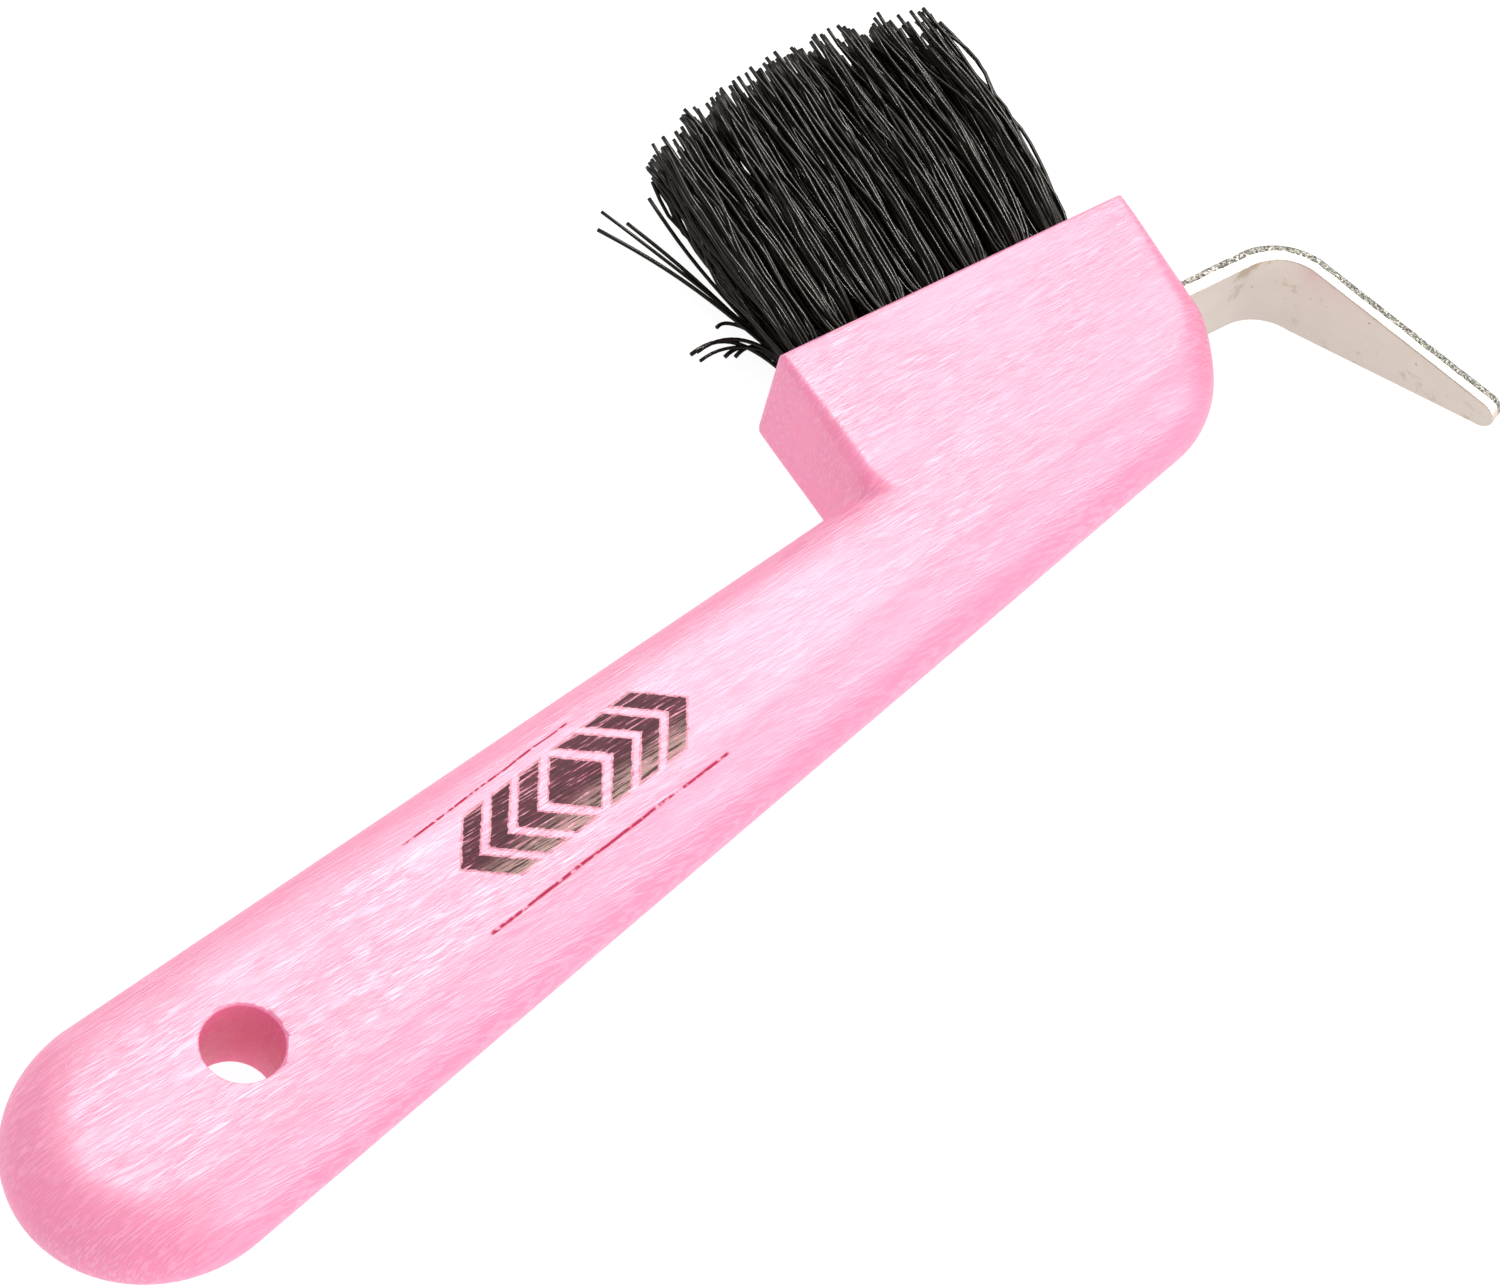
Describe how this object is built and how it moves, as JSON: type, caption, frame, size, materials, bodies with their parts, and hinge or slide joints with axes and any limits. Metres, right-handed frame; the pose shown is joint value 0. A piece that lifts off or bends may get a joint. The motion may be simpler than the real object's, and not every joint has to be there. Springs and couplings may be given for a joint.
{
  "type": "hoof pick with brush",
  "caption": "Hand tool for cleaning hooves: a moulded plastic handle with a hang hole, a bent steel pick and a stiff block brush.",
  "frame": {"origin": "middle of the foot of the bounding box; the pick lies flat on its side", "axes": "+X along the handle from the butt to the steel pick, +Y the way the bristles point, +Z through the thickness"},
  "size_m": [0.1822, 0.08, 0.0144],
  "materials": {
    "handle_plastic": "satin pink with a fine wood-grain emboss",
    "pick_steel": "satin nickel plate with light stains",
    "bristle": "glossy black filament",
    "staple_wire": "plain drawn wire"
  },
  "bodies": {
    "root": {"handle": "handle_plastic", "hoof_pick_blade": "pick_steel", "tuft_1_1": "bristle", "tuft_1_2": "bristle", "tuft_1_3": "bristle", "tuft_1_4": "bristle", "tuft_1_5": "bristle", "tuft_1_6": "bristle", "tuft_2_1": "bristle", "tuft_2_2": "bristle", "tuft_2_3": "bristle", "tuft_2_4": "bristle", "tuft_2_5": "bristle", "tuft_2_6": "bristle", "tuft_2_7": "bristle", "staple_1_1": "staple_wire", "staple_1_2": "staple_wire", "staple_1_3": "staple_wire", "staple_1_4": "staple_wire", "staple_1_5": "staple_wire", "staple_1_6": "staple_wire", "staple_2_1": "staple_wire", "staple_2_2": "staple_wire", "staple_2_3": "staple_wire", "staple_2_4": "staple_wire", "staple_2_5": "staple_wire", "staple_2_6": "staple_wire", "staple_2_7": "staple_wire"}
  },
  "joints": []
}
